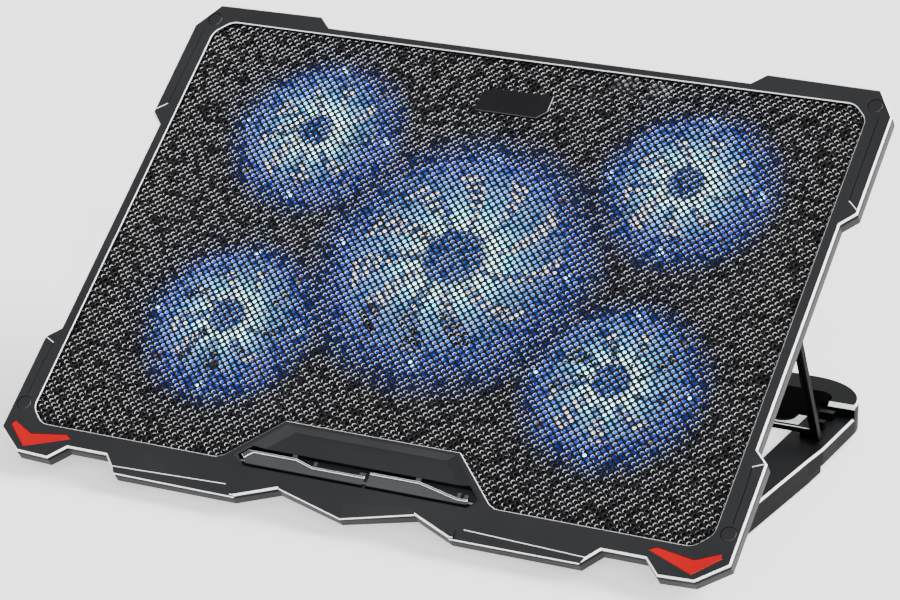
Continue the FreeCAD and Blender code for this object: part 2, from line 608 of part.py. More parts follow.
def pad_lugs():
    """Middle lugs of the two hinges, and the pairs of ears that carry the prop."""
    shapes = []
    half, play = SIZES["lug_wide"] / 2, SIZES["running_gap"]
    root = -SIZES["rim_depth"] + SIZES["channel_deep"]
    for side in (-1, 1):
        x = side * SIZES["hinge_x"]
        shapes.append(lug(x - half, x + half, SIZES["hinge_v"], -SIZES["hinge_depth"],
                          -SIZES["tub_depth"] + 1.0, SIZES["lug_r"], SIZES["hinge_pin_r"] + play))
        inner, outer = ear_span()
        for x0, x1 in ((inner, inner + SIZES["ear_wide"]), (outer - SIZES["ear_wide"], outer)):
            x0, x1 = sorted((side * x0, side * x1))
            shapes.append(lug(x0, x1, SIZES["prop_v"], -SIZES["prop_w"], root,
                              SIZES["ear_round"], SIZES["prop_pin_r"] + SIZES["pin_fit"]))
    return shapes


def board_posts():
    """Posts that carry the hub board."""
    floor = -SIZES["tub_depth"] + SIZES["tub_floor"]
    under = -SIZES["board_top"] - SIZES["board_thick"]
    return [disc(SIZES["post_r"], x, y, floor - 0.4, under) for x, y in board_screws()]


def board_screws():
    """Places of the three screws in a row along the front of the hub board."""
    inset, y = SIZES["board_inset"], SIZES["board_screw_y"]
    middle = (SIZES["port_a_x"] + SIZES["port_b_x"]) / 2
    return [(x, y) for x in (SIZES["board_left"] + inset, middle, SIZES["board_right"] - inset)]


# ---------------------------------------------------------------- trim of the top face

def flat_trim(label, outline, level, height, edge):
    """A small plate bevelled round its top."""
    part = body(label.title().replace("_", ""))
    plate = slab(part, "Plate", outline, level, height)
    bevel(part, "TopBevel", plate, edges_at(plate.Shape, size(level) + size(height)), edge)
    keep(label, part, on_pad())


def trim():
    """Chevrons on the front corners, plain badge plate and round corner caps."""
    chevron = texts(CHEVRON)
    flat_trim("red_accent_right", chevron, "-accent_thick", "accent_thick", "accent_edge")
    flat_trim("red_accent_left", [(negative(x), y) for x, y in chevron], "-accent_thick",
              "accent_thick", "accent_edge")
    badge = [("-badge_x", "badge_front"), ("badge_x - badge_cut", "badge_front"),
             ("badge_x", "badge_front + badge_cut"), ("badge_x", "badge_rear"),
             ("-badge_x + badge_cut", "badge_rear"), ("-badge_x", "badge_rear - badge_cut")]
    flat_trim("badge_plate", badge, "-lip_thick", "lip_thick - badge_low", "accent_edge")
    caps = []
    for x, y in cap_places():
        cap = disc(SIZES["cap_r"], x, y, -SIZES["cap_thick"], 0.0)
        rim = [edge for edge in cap.Edges if edge.BoundBox.ZMin > -1e-6]
        caps.append(cap.makeChamfer(SIZES["cap_gap"], rim))
    solid_node("corner_caps", Part.makeCompound(caps), on_pad())


# ---------------------------------------------------------------- flip-up stoppers

def stopper(side, shapes):
    """A flat bar with a raised rail and tabs at its rear, bored for its pin near the front."""
    part = body(f"Stopper{side.title()}")
    slab(part, "Bar", texts(shapes["bar"]), "-stop_top - stop_thick", "stop_thick")
    for number, tab in enumerate(shapes["tabs"]):
        slab(part, f"Tab{number}", rectangle(*(str(place) for place in tab)),
             "-stop_top - stop_thick + 1", "stop_thick - 1")
    rail = slab(part, "Rail", texts(shapes["rail"]), "-stop_top", "stop_rail")
    top = edges_at(rail.Shape, -SIZES["stop_top"] + SIZES["stop_rail"])
    bevel(part, "RailBevel", rail, top, "stop_edge")
    ends = [x for x, y in shapes["bar"]]
    bore = sketch(part, "PinBore", str(min(ends) - 1), "YZ_Plane")
    circle(bore, "stop_axis_y", "-stop_axis_z", "stop_pin_r + running_gap")
    feature(part, "Pocket", "PinHole", bore, str(max(ends) - min(ends) + 2))
    keep(f"stopper_{side}", part, on_pad())


def stoppers():
    """Both stoppers and the steel pins that they turn on, which meet inside the post."""
    for side, shapes in STOPPERS.items():
        stopper(side, shapes)
    y, z, end = SIZES["stop_axis_y"], -SIZES["stop_axis_z"], SIZES["stop_pin_end"]
    meet = (SIZES["post_left"] + SIZES["post_right"]) / 2
    pins = [rod(SIZES["stop_pin_r"], Vector(x0, y, z), Vector(x1, y, z))
            for x0, x1 in ((-end, meet - 0.1), (meet + 0.1, end))]
    solid_node("stopper_pins", Part.makeCompound(pins), on_pad())


# ---------------------------------------------------------------- fans

def fan_frame(name, x, y, kind):
    """Round wall, struts, motor plate with its bearing, and the ears."""
    outer, hub = SIZES[f"{kind}_fan_r"], SIZES[f"{kind}_hub_r"]
    low, top = -SIZES["fan_bottom"], -SIZES["fan_top"]
    plate = low + SIZES["plate_thick"]
    ring = disc(outer, x, y, low, top).cut(disc(outer - SIZES["fan_wall"], x, y, low - 1, top + 1))
    shapes = [ring, disc(hub, x, y, low, plate), disc(SIZES["bearing_r"], x, y, low, plate + 2.4)]
    half = SIZES["strut"] / 2
    for turn in (15, 135, 255):
        strut = box(x + hub - 1, x + outer - 1, y - half, y + half, low, plate)
        strut.rotate(Vector(x, y, 0), UP, turn)
        shapes.append(strut)
    for first in (0, 45):
        for ear_x, ear_y in ear_places(x, y, kind, first):
            ear = disc(SIZES["ear_r"], ear_x, ear_y, low, low + SIZES["ear_thick"])
            shapes.append(ear.cut(disc(outer - 1.2, x, y, low - 1, top)))
    frame = joined(shapes)
    bores = [disc(SIZES["shaft_r"] + SIZES["running_gap"], x, y, low + 0.8, top)]
    hole = SIZES["screw_r"] + SIZES["screw_gap"]
    bores += [disc(hole, ear_x, ear_y, low - 1, top) for ear_x, ear_y in ear_places(x, y, kind, 45)]
    solid_node(f"fan_frame_{name}", frame.cut(Part.makeCompound(bores)), on_pad())


def blade(x, y, inner, outer, low, top, pitch, angle):
    """One fan blade: a thin pitched plate that widens and sweeps back towards its tip."""
    thick = SIZES["blade_thick"]
    rise, middle = (top - low - thick) * 0.46, (top + low) / 2

    def section(share):
        radius = inner + (outer - inner) * share
        half = SIZES["blade_fill"] * pitch * radius / 2
        corners = [Vector(radius, -half, middle - rise - thick / 2),
                   Vector(radius, half, middle + rise - thick / 2),
                   Vector(radius, half, middle + rise + thick / 2),
                   Vector(radius, -half, middle - rise + thick / 2)]
        turn = Rotation(UP, angle + SIZES["blade_sweep"] * share ** 1.4)
        corners = [turn.multVec(corner) + Vector(x, y, 0) for corner in corners]
        return Part.makePolygon(corners + corners[:1])

    return Part.makeLoft([section(share) for share in (0.0, 0.34, 0.67, 1.0)], True, True)


def fan_rotor(name, x, y, kind):
    """Hub cup, shaft and blades, trimmed to a round tip."""
    hub = SIZES[f"{kind}_hub_r"]
    tip = SIZES[f"{kind}_fan_r"] - SIZES["fan_wall"] - SIZES["tip_gap"]
    low, top = -SIZES["rotor_bottom"], -SIZES["rotor_top"]
    room = disc(hub - SIZES["cup_wall"], x, y, low - 1, top - 1.2)
    cup = disc(hub, x, y, low, top)
    rim = [edge for edge in cup.Edges if edge.BoundBox.ZMin > top - 1e-6]
    cup = cup.makeChamfer(0.8, rim).cut(room)
    shaft = disc(SIZES["shaft_r"], x, y, -SIZES["fan_bottom"] + 1.0, top - 0.2)
    pitch = 2 * math.pi / BLADES[kind]
    blades = []
    for number in range(BLADES[kind]):
        shape = blade(x, y, hub - 0.8, tip + 2.0, low, top, pitch, math.degrees(pitch) * number)
        shape = shape.common(disc(tip, x, y, low, top))
        blades.append(shape.cut(disc(hub - 0.6, x, y, low - 1, top + 1)))
    solid_node(f"fan_rotor_{name}", joined([cup, shaft] + blades), on_pad())


def fan_hardware():
    """Lamps and screws in the ears of the fans, each kind as one group."""
    level = -SIZES["fan_bottom"] + SIZES["ear_thick"]
    lamps, screws = [], []
    for name, x, y, kind in fan_places():
        for ear_x, ear_y in ear_places(x, y, kind, 0):
            body_top = level + SIZES["led_tall"] - SIZES["led_r"]
            stem = disc(SIZES["led_r"], ear_x, ear_y, level, body_top)
            dome = Part.makeSphere(SIZES["led_r"], Vector(ear_x, ear_y, body_top))
            lamps.append(joined([stem, dome]))
        for ear_x, ear_y in ear_places(x, y, kind, 45):
            shank = disc(SIZES["screw_r"], ear_x, ear_y, -SIZES["tub_depth"] + 0.4, level + 0.1)
            head = disc(SIZES["screw_head_r"], ear_x, ear_y, level, level + SIZES["screw_head"])
            screws.append(joined([shank, head]))
    solid_node("fan_leds", Part.makeCompound(lamps), on_pad())
    solid_node("fan_screws", Part.makeCompound(screws), on_pad())


# ---------------------------------------------------------------- electronics at the rear

def electronics():
    """Hub board with two sockets, the speed rocker and the light button."""
    top, under = -SIZES["board_top"], -SIZES["board_top"] - SIZES["board_thick"]
    board = box(SIZES["board_left"], SIZES["board_right"], SIZES["board_front"],
                SIZES["board_rear"], under, top)
    hole = SIZES["screw_r"] + SIZES["screw_gap"]
    for x, y in board_screws():
        board = board.cut(disc(hole, x, y, under - 1, top + 1))
    solid_node("hub_board", board, on_pad())
    wall, wide, tall = SIZES["port_wall"], SIZES["port_wide"] / 2 - 0.1, SIZES["port_tall"]
    front, rear = SIZES["port_front"] + 0.2, SIZES["port_rear"]
    shells, tongues = [], []
    for x in (SIZES["port_a_x"], SIZES["port_b_x"]):
        can = box(x - wide, x + wide, front, rear, top, top + tall)
        mouth = box(x - wide + wall, x + wide - wall, front + 1.2, rear + 1, top + wall, top + tall - wall)
        shells.append(can.cut(mouth))
        tongues.append(box(x - wide + 1.6, x + wide - 1.6, front + 1.2, rear - 1.0,
                           top + tall - 2.4, top + tall - 0.9))
    solid_node("usb_socket_left", shells[0], on_pad())
    solid_node("usb_socket_right", shells[1], on_pad())
    solid_node("usb_tongues", Part.makeCompound(tongues), on_pad())
    screws = [joined([disc(SIZES["screw_r"], x, y, -SIZES["tub_depth"] + 1.2, top + 0.1),
                      disc(2.0, x, y, top, top + 1.0)]) for x, y in board_screws()]
    solid_node("board_screws", Part.makeCompound(screws), on_pad())


def switches():
    """Rocker that sets the fan speed and the push button for the lights."""
    x, y = SIZES["rocker_x"], SIZES["rocker_axis_y"]
    low = -SIZES["board_top"] + 0.5
    top, half = low + SIZES["rocker_tall"], SIZES["rocker_wide"] / 2
    wall, pin = SIZES["rocker_wall"], SIZES["rocker_pin_r"]
    case = box(x - half - wall, x + half + wall, SIZES["port_front"] + 3.0, SIZES["rear_y"] - 0.3,
               low - 0.4, top + 0.4)
    room = box(x - half - 0.3, x + half + 0.3, y - 3.4, SIZES["rear_y"] + 1, low - 0.1, top + 0.1)
    pivot = disc(pin, x, y, low - 0.4, top + 0.4)
    solid_node("rocker_case", joined([case.cut(room), pivot]), on_pad())
    paddle = box(x - half, x + half, y - 1.2, y + 1.2, low + 0.1, top - 0.1)
    ridge = rod(1.6, Vector(x, y + 0.6, low + 0.1), Vector(x, y + 0.6, top - 0.1))
    paddle = joined([paddle, ridge]).cut(disc(pin + SIZES["running_gap"], x, y, low - 1, top + 1))
    solid_node("speed_rocker", paddle, on_pad())
    shoulder = SIZES["rear_y"] - SIZES["button_wall"]
    stem = rod(SIZES["button_r"], button_point(shoulder - 1.4), button_point(SIZES["rear_y"] + 1.2))
    flange = rod(SIZES["button_flange"], button_point(shoulder - 1.4), button_point(shoulder - 0.3))
    solid_node("light_button", joined([stem, flange]), on_pad())


def fasteners():
    """Screws that hold the two halves of the housing together."""
    rim = -SIZES["rim_depth"]
    screws = []
    for x, y in HOUSING_SCREWS:
        for side in (1, -1):
            head = disc(SIZES["screw_head_r"], side * x, y, rim, rim + SIZES["screw_head"])
            head = head.cut(box(side * x - 1.7, side * x + 1.7, y - 0.3, y + 0.3, rim - 1, rim + 0.7))
            head = head.cut(box(side * x - 0.3, side * x + 0.3, y - 1.7, y + 1.7, rim - 1, rim + 0.7))
            shank = disc(SIZES["screw_r"], side * x, y, rim + SIZES["screw_head"] - 0.1,
                         -SIZES["edge_bevel"] - 0.3)
            screws.append(joined([head, shank]))
    solid_node("housing_screws", Part.makeCompound(screws), on_pad())


# ---------------------------------------------------------------- prop

def prop():
    """U-shaped prop: two legs with round feet, a cross bar, and the pins that it turns on."""
    pivot = Vector(0, SIZES["prop_v"], -SIZES["prop_w"])
    reach, half, groove = SIZES["prop_length"], SIZES["leg_thick"] / 2, SIZES["leg_groove"]
    pieces = []
    for side in (-1, 1):
        x0, x1 = sorted((side * SIZES["leg_x"], side * (SIZES["leg_x"] + SIZES["leg_wide"])))
        head = Vector(x0, pivot.y, pivot.z)
        foot, across = head + Vector(0, reach, 0), RIGHT * (x1 - x0)
        leg = box(x0, x1, head.y, foot.y, head.z - half, head.z + half)
        leg = joined([leg, rod(SIZES["eye_r"], head, head + across), rod(SIZES["foot_r"], foot, foot + across)])
        slot = box(x0 + 1.2, x1 - 1.2, head.y + 9, foot.y - 9, head.z - half - 1, head.z - half + groove)
        bore = rod(SIZES["prop_pin_r"] + SIZES["running_gap"], head - RIGHT, head + across + RIGHT)
        pieces.append(leg.cut(slot).cut(bore))
    end, bar = Vector(SIZES["leg_x"] + 1.0, 0, 0), pivot + Vector(0, reach - SIZES["bar_up"], 0)
    pieces.append(rod(SIZES["bar_r"], bar - end, bar + end))
    for piece in pieces:
        piece.rotate(pivot, RIGHT, -SIZES["prop_angle"])
    solid_node("prop_bracket", joined(pieces), on_pad())
    inner, outer = ear_span()
    pins = [rod(SIZES["prop_pin_r"], pivot + RIGHT * side * inner, pivot + RIGHT * side * outer)
            for side in (-1, 1)]
    solid_node("prop_pins", Part.makeCompound(pins), on_pad())


# ---------------------------------------------------------------- stand

def on_table():
    return Placement(Vector(0, -SIZES["hinge_back"], 0), Rotation())


def stand_base():
    """One moulded frame: two arms, front bar, rear bar, notch racks and hinge lugs."""
    part = body("StandBase")
    lift = "pad_foot"
    outer = mirrored([("arm_in", "arm_start"), ("arm_front_x", "arm_start"),
                      ("arm_out - 1.4", "arm_widen"), ("arm_out", "arm_step"), ("arm_out", "bar_rear")])
    upper = sketch(part, "UpperOutline", "heel_lift")
    polygon(upper, outer)
    polygon(upper, rectangle("-arm_in", "arm_in", "front_bar_b", "bar_front"))
    feature(part, "Pad", "UpperFrame", upper, "arm_tall - heel_lift")
    slab(part, "FrontGap", rectangle("-arm_in", "arm_in", "arm_start - 1", "front_bar_a"),
         "heel_lift", "arm_tall - heel_lift", "Pocket")
    slab(part, "FrontBarTop", rectangle("-arm_in", "arm_in", "front_bar_a - 1", "front_bar_b + 1"),
         "front_bar_tall", "arm_tall - front_bar_tall + 1", "Pocket")
    for side, near, far in (("Right", "arm_in", "arm_out"), ("Left", "-arm_in", "-arm_out")):
        sign = "-" if side == "Left" else ""
        lower = [(near, "arm_start"), (f"{sign}arm_front_x", "arm_start"),
                 (f"{far}" + (" + 1.4" if sign else " - 1.4"), "arm_widen"),
                 (f"{far}" + (" + 1" if sign else " - 1"), "arm_step"), (near, "arm_step")]
        slab(part, f"{side}ArmLower", lower, lift, f"heel_lift - {lift}")
    slab(part, "FrontBarLower", rectangle("-arm_in", "arm_in", "front_bar_a", "front_bar_b"),
         lift, f"heel_lift - {lift}")
    rear = rectangle("-arm_out", "arm_out", "ear_start", "bar_rear")
    slab(part, "RearBarTop", rear, "arm_tall", "ear_tall - arm_tall")
    for number in range(3):
        middle = "tooth_first" + " + tooth_pitch" * number
        for side in ("Left", "Right"):
            ends = ("tooth_in", "tooth_out") if side == "Right" else ("-tooth_out", "-tooth_in")
            tooth = rectangle(*ends, middle, f"{middle} + tooth_thick")
            slab(part, f"Tooth{side}{number}", tooth, "arm_tall", "tooth_tall")
    feet = sketch(part, "RearFeet", lift)
    for sign in ("-", ""):
        circle(feet, f"{sign}foot_rear_x", "foot_rear_y", "pad_foot_r")
    feature(part, "Pad", "RearBosses", feet, "heel_lift - pad_foot")
    doc.recompute()
    lugs = doc.addObject("Part::Feature", "StandLugs")
    lugs.Shape = Part.makeCompound(base_lugs())
    whole = boolean("MultiFuse", "StandBaseWithLugs", part, [lugs])
    relief = doc.addObject("Part::Feature", "StandRelief")
    relief.Shape = Part.makeCompound([corner_relief(-1), corner_relief(1), mouth(), ear_fronts()])
    blank = boolean("Cut", "StandBaseCut", whole, relief)
    bevelled = blank.Shape.makeChamfer(SIZES["arm_bevel"], outer_edges(blank.Shape))
    solid_node("stand_base", bevelled, on_table())


def mouth():
    """The rounded bay in front of the rear bar, between the two ears."""
    x, rear = SIZES["mouth_x"], SIZES["bar_front"]
    bay = box(-x, x, SIZES["ear_start"] - 1, rear, SIZES["arm_tall"], SIZES["ear_tall"] + 1)
    upright = [edge for edge in bay.Edges
               if edge.BoundBox.ZLength > 1 and edge.BoundBox.YMin > rear - 0.1]
    return bay.makeFillet(SIZES["mouth_r"], upright)


def ear_fronts():
    """What is cut away to slope the front of both ears."""
    line = Vector(SIZES["arm_out"] + 1, SIZES["ear_start"] + SIZES["ear_bevel"], SIZES["ear_tall"])
    return falling_cut(Vector(-line.x, line.y, line.z), line, 1.0, SIZES["ear_bevel"])


def outer_edges(shape):
    """Top edges along the outside of the arms, the ears and the rounded rear corners."""
    edges = []
    for edge in shape.Edges:
        level = edge.BoundBox.ZMax
        point = edge.valueAt((edge.FirstParameter + edge.LastParameter) / 2)
        flat = edge.BoundBox.ZLength < 1e-6 and level in (SIZES["arm_tall"], SIZES["ear_tall"])
        outside = abs(point.x) > SIZES["arm_front_x"] - 0.1 or point.y > SIZES["bar_rear"] - 0.1
        if flat and outside and abs(edge.tangentAt(edge.FirstParameter).y) > 0.01:
            edges.append(edge)
        elif flat and point.y > SIZES["bar_rear"] - 0.1:
            edges.append(edge)
    return edges


def corner_relief(side):
    """What is cut away to round one rear corner of the stand."""
    radius, x, y = SIZES["corner_r"], SIZES["arm_out"], SIZES["bar_rear"]
    x0, x1 = sorted((side * (x - radius), side * (x + 1)))
    block = box(x0, x1, y - radius, y + 1, 0.0, SIZES["ear_tall"] + 1)
    return block.cut(disc(radius, side * (x - radius), y - radius, -1.0, SIZES["ear_tall"] + 2))


def base_lugs():
    """Outer lugs of the hinges, reaching forward from the front bar to the hinge line."""
    shapes = []
    radius, z = SIZES["lug_r"], SIZES["hinge_height"]
    near = SIZES["lug_wide"] / 2 + SIZES["lug_gap"]
    for side in (-1, 1):
        for step in (-1, 1):
            middle = side * SIZES["hinge_x"]
            x0, x1 = sorted((middle + step * near, middle + step * (near + SIZES["lug_side"])))
            block = box(x0, x1, 0.0, SIZES["front_bar_a"] + 1, z - radius, SIZES["front_bar_tall"])
            end = rod(radius, Vector(x0, 0, z), Vector(x1, 0, z))
            bore = rod(SIZES["hinge_pin_r"], Vector(x0 - 1, 0, z), Vector(x1 + 1, 0, z))
            shapes.append(joined([block, end]).cut(bore))
    return shapes


def stand_hardware():
    """Hinge pins and rubber feet."""
    reach = SIZES["lug_wide"] / 2 + SIZES["lug_gap"] + SIZES["lug_side"]
    z = SIZES["hinge_height"]
    pins = [rod(SIZES["hinge_pin_r"], Vector(side * SIZES["hinge_x"] - reach, 0, z),
                Vector(side * SIZES["hinge_x"] + reach, 0, z)) for side in (-1, 1)]
    solid_node("hinge_pins", Part.makeCompound(pins), on_table())
    feet = []
    for side in (-1, 1):
        for end in ("front", "rear"):
            x, y = side * SIZES[f"foot_{end}_x"], SIZES[f"foot_{end}_y"]
            feet.append(disc(SIZES["pad_foot_r"] - 1.5, x, y, 0.0, SIZES["pad_foot"]))
    solid_node("rubber_feet", Part.makeCompound(feet), on_table())


# ---------------------------------------------------------------- build, check and write

def build():
    top_frame()
    mesh_panel()
    bottom_shell()
    trim()
    stoppers()
    for fan in fan_places():
        fan_frame(*fan)
        fan_rotor(*fan)
    fan_hardware()
    electronics()
    switches()
    fasteners()
    prop()
    stand_base()
    stand_hardware()
    doc.recompute()


def check():
    for item in doc.Objects:
        if any(word in item.State for word in ("Invalid", "Error")):
            raise RuntimeError(f"{item.Name} failed: {item.State}")
    for label, item in nodes.items():
        if item.Shape.isNull() or not item.Shape.isValid() or not item.Shape.Solids:
            raise RuntimeError(f"{label} has no valid solid")


def write():
    os.makedirs("parts", exist_ok=True)
    whole = Part.makeCompound([item.Shape for item in nodes.values()])
    for label, item in nodes.items():
        item.Shape.exportStep(f"parts/{label}.step")
    bounds = whole.BoundBox
    print(f"{len(nodes)} nodes, X {bounds.XMin:.2f} {bounds.XMax:.2f}, "
          f"Y {bounds.YMin:.2f} {bounds.YMax:.2f}, Z {bounds.ZMin:.2f} {bounds.ZMax:.2f}")


build()
check()
write()
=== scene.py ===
"""Looks of the laptop cooling pad: perforated mesh, fans glowing with painted light, moulded plastics, studio
floor and camera.
"""
import json
import math

import bpy
import numpy as np
from mathutils import Matrix, Vector


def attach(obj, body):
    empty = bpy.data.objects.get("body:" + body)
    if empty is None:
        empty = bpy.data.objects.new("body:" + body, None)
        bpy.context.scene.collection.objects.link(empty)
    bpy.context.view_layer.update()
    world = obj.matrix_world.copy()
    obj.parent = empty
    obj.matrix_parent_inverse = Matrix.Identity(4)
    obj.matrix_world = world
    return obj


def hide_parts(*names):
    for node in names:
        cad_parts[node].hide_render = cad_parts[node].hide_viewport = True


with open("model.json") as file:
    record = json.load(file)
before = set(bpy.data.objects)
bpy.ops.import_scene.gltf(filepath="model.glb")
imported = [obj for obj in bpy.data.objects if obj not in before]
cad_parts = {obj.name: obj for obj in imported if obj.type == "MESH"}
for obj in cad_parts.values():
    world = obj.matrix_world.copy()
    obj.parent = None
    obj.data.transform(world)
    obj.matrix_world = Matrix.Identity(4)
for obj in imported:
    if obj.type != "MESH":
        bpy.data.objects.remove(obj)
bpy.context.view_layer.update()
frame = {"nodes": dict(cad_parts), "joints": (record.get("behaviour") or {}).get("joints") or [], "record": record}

MM = 0.001

# ---------------------------------------------------------------- the pad's own frame

# The pad is measured in millimetres: x to the right, v back along its top face, w out of that face.
# Its directions and place come from the frame's joints: fans spin about its normal, and pad_tilt is its hinge.
JOINTS = {joint["name"]: joint for joint in frame["joints"]}
HINGE = Vector(JOINTS["pad_tilt"]["pos_m"])
NORMAL = Vector(JOINTS["fan_spin_center"]["axis"])
BACK = Vector((0, NORMAL.z, -NORMAL.y))
HINGE_V, HINGE_DEPTH = 27.0, 25.5
ORIGIN = HINGE - BACK * HINGE_V * MM + NORMAL * HINGE_DEPTH * MM
SMALL_FAN, LARGE_FAN = 39.0, 62.0
FAN_RADII = {
    "front_left": SMALL_FAN,
    "front_right": SMALL_FAN,
    "rear_left": SMALL_FAN,
    "rear_right": SMALL_FAN,
    "center": LARGE_FAN,
}


def from_pad(points):
    """Points in pad millimetres, one per row, as points of the row frame in metres."""
    axes = np.array([Vector((MM, 0, 0)), BACK * MM, NORMAL * MM])
    return points @ axes + np.array(ORIGIN)


# ---------------------------------------------------------------- camera, floor and light

# The camera's bearing and height in degrees, its place from the pad's origin in metres, and its lens in mm.
AZIMUTH, ELEVATION = 25.90, 19.70
EYE_RIGHT, EYE_UP, EYE_BACK = 0.0549, 0.1062, 1.766
LENS, SENSOR = 141.64, 36.0

# Each sun: the direction that it stands in, its strength, and its spread in degrees.
SUNS = {
    "right": ((0.79, 0.11, 0.61), 3.6, 25),
    "rear": ((0.45, 0.58, 0.68), 3.2, 40),
    "front": ((0.50, -0.80, 0.40), 3.0, 50),
}
SKY_STRENGTH = 0.38
FLOOR_HALF, FLOOR_DROP = 6.0, 0.0002


def link(name, data):
    """A new object in the scene."""
    item = bpy.data.objects.new(name, data)
    bpy.context.scene.collection.objects.link(item)
    return item


def camera():
    """The camera at the photograph's angle."""
    azimuth, elevation = math.radians(AZIMUTH), math.radians(ELEVATION)
    level = math.cos(elevation)
    back = Vector((math.sin(azimuth) * level, -math.cos(azimuth) * level, math.sin(elevation)))
    right = Vector((math.cos(azimuth), math.sin(azimuth), 0))
    up = back.cross(right)
    data = bpy.data.cameras.new("camera")
    data.lens, data.sensor_width = LENS, SENSOR
    data.clip_start, data.clip_end = 0.05, 20
    item = link("camera", data)
    matrix = Matrix((right, up, back)).transposed().to_4x4()
    matrix.translation = ORIGIN + right * EYE_RIGHT + up * EYE_UP + back * EYE_BACK
    item.matrix_world = matrix
    bpy.context.scene.camera = item


def sun(name, direction, power, spread):
    """A broad soft light from far away."""
    data = bpy.data.lights.new(name, "SUN")
    data.energy, data.angle = power, math.radians(spread)
    item = link(name, data)
    item.rotation_euler = Vector(direction).to_track_quat("Z", "Y").to_euler()


def sky():
    """Even white light from all round."""
    world = bpy.data.worlds.new("studio")
    bpy.context.scene.world = world
    world.use_nodes = True
    background = world.node_tree.nodes["Background"]
    background.inputs["Color"].default_value = (1, 1, 1, 1)
    background.inputs["Strength"].default_value = SKY_STRENGTH


def floor():
    """A plain pale floor just under the rubber feet."""
    corners = [(-1, -1), (1, -1), (1, 1), (-1, 1)]
    mesh = bpy.data.meshes.new("floor")
    mesh.from_pydata([(x * FLOOR_HALF, y * FLOOR_HALF, 0) for x, y in corners], [], [(0, 1, 2, 3)])
    item = link("floor", mesh)
    item.location.z = -FLOOR_DROP
    material = new_material("floor")
    shader(material, colour=(0.93, 0.93, 0.93), rough=0.85, Emission_Color=(1, 1, 1, 1), Emission_Strength=0.9)
    mesh.materials.append(material)


def studio():
    """Light and floor."""
    sky()
    for name, (direction, power, spread) in SUNS.items():
        sun(name, direction, power, spread)
    floor()


# ---------------------------------------------------------------- materials

# Ramps over the cosine between a face and the way up: the first picks out 45 degree bevels for a painted
# highlight, the second walls for painted shade.
HIGHLIGHT_BAND = [(0.60, (0,)), (0.66, (1,)), (0.77, (1,)), (0.80, (0,))]
SHADE_BAND = [(0.3, (1,)), (0.5, (0,))]
# Near-white colour painted on bevels as a highlight.
PAINTED_HIGHLIGHT = (0.95, 0.95, 0.96, 1)
# Near-white colour painted on the walls of the mesh holes as a highlight.
HOLE_HIGHLIGHT = (0.9, 0.9, 0.92, 1)
BLACK = (0, 0, 0, 1)


def new_material(name):
    """An empty material with a Principled shader."""
    material = bpy.data.materials.new(name)
    material.use_nodes = True
    return material


def shader(material, colour=(0.5, 0.5, 0.5), rough=0.5, **sockets):
    """The Principled shader of a material with plain values set on its own sockets."""
    node = principled(material)
    node.inputs["Base Color"].default_value = (*colour, 1)
    node.inputs["Roughness"].default_value = rough
    for name, value in sockets.items():
        node.inputs[name.replace("_", " ")].default_value = value
    return node


def add(material, kind, **values):
    """A node with its properties and unlinked inputs set."""
    node = material.node_tree.nodes.new(kind)
    for name, value in values.items():
        if name in node.inputs:
            node.inputs[name].default_value = value
        else:
            setattr(node, name, value)
    return node


def principled(material):
    """The Principled shader of a material."""
    return material.node_tree.nodes["Principled BSDF"]


def wire(material, source, target):
    """Link one socket to another."""
    material.node_tree.links.new(source, target)


def grain(material, scale, detail=2.0, rough=0.5):
    """Noise in object space."""
    place = add(material, "ShaderNodeTexCoord")
    noise = add(material, "ShaderNodeTexNoise", Scale=scale, Detail=detail, Roughness=rough)
    wire(material, place.outputs["Object"], noise.inputs["Vector"])
    return noise.outputs["Fac"]


def ramp(material, source, stops):
    """A colour ramp through (position, colour) stops. A colour of one number is a grey."""
    node = add(material, "ShaderNodeValToRGB")
    elements = node.color_ramp.elements
    while len(elements) < len(stops):
        elements.new(0.5)
    for element, (position, colour) in zip(elements, stops):
        element.position = position
        element.color = (*colour, 1) if len(colour) == 3 else (*colour * 3, 1)
    wire(material, source, node.inputs["Fac"])
    return node.outputs["Color"]


def bump(material, source, height, strength):
    """Relief of a height in metres."""
    node = add(material, "ShaderNodeBump", Strength=strength, Distance=height)
    wire(material, source, node.inputs["Height"])
    wire(material, node.outputs["Normal"], principled(material).inputs["Normal"])


def moulded(name, colour, rough, texture=1800.0, relief=0.00002, vary=0.12, **sockets):
    """Moulded plastic: fine spark texture, slight mottling of colour and roughness."""
    material = new_material(name)
    node = shader(material, colour, rough, **sockets)
    fine = grain(material, texture, 2.0)
    bump(material, fine, relief, 0.6)
    broad = grain(material, 22.0, 3.0)
    dark = tuple(c * (1 - vary) for c in colour)
    light = tuple(min(1, c * (1 + vary)) for c in colour)
    wire(material, ramp(material, broad, [(0.3, dark), (0.7, light)]), node.inputs["Base Color"])
    wire(material, ramp(material, broad, [(0.3, (rough - 0.04,)), (0.7, (rough + 0.05,))]),
         node.inputs["Roughness"])
    return material


def mix(material, factor, base, over, kind="RGBA"):
    """Blend from one socket or value to another by a factor socket."""
    node = add(material, "ShaderNodeMix", data_type=kind)
    wire(material, factor, node.inputs["Factor"])
    pair = [socket for socket in node.inputs if socket.enabled and socket.name in ("A", "B")]
    for socket, value in zip(pair, (base, over)):
        if hasattr(value, "links"):
            wire(material, value, socket)
        else:
            socket.default_value = value
    return next(socket for socket in node.outputs if socket.enabled)


def facing(material, direction):
    """How far a face looks along a direction of the object's own frame."""
    place = add(material, "ShaderNodeTexCoord")
    node = add(material, "ShaderNodeVectorMath", operation="DOT_PRODUCT")
    wire(material, place.outputs["Normal"], node.inputs[0])
    node.inputs[1].default_value = direction
    return node.outputs["Value"]


def source_of(socket):
    """The socket that feeds a linked one."""
    return socket.links[0].from_socket


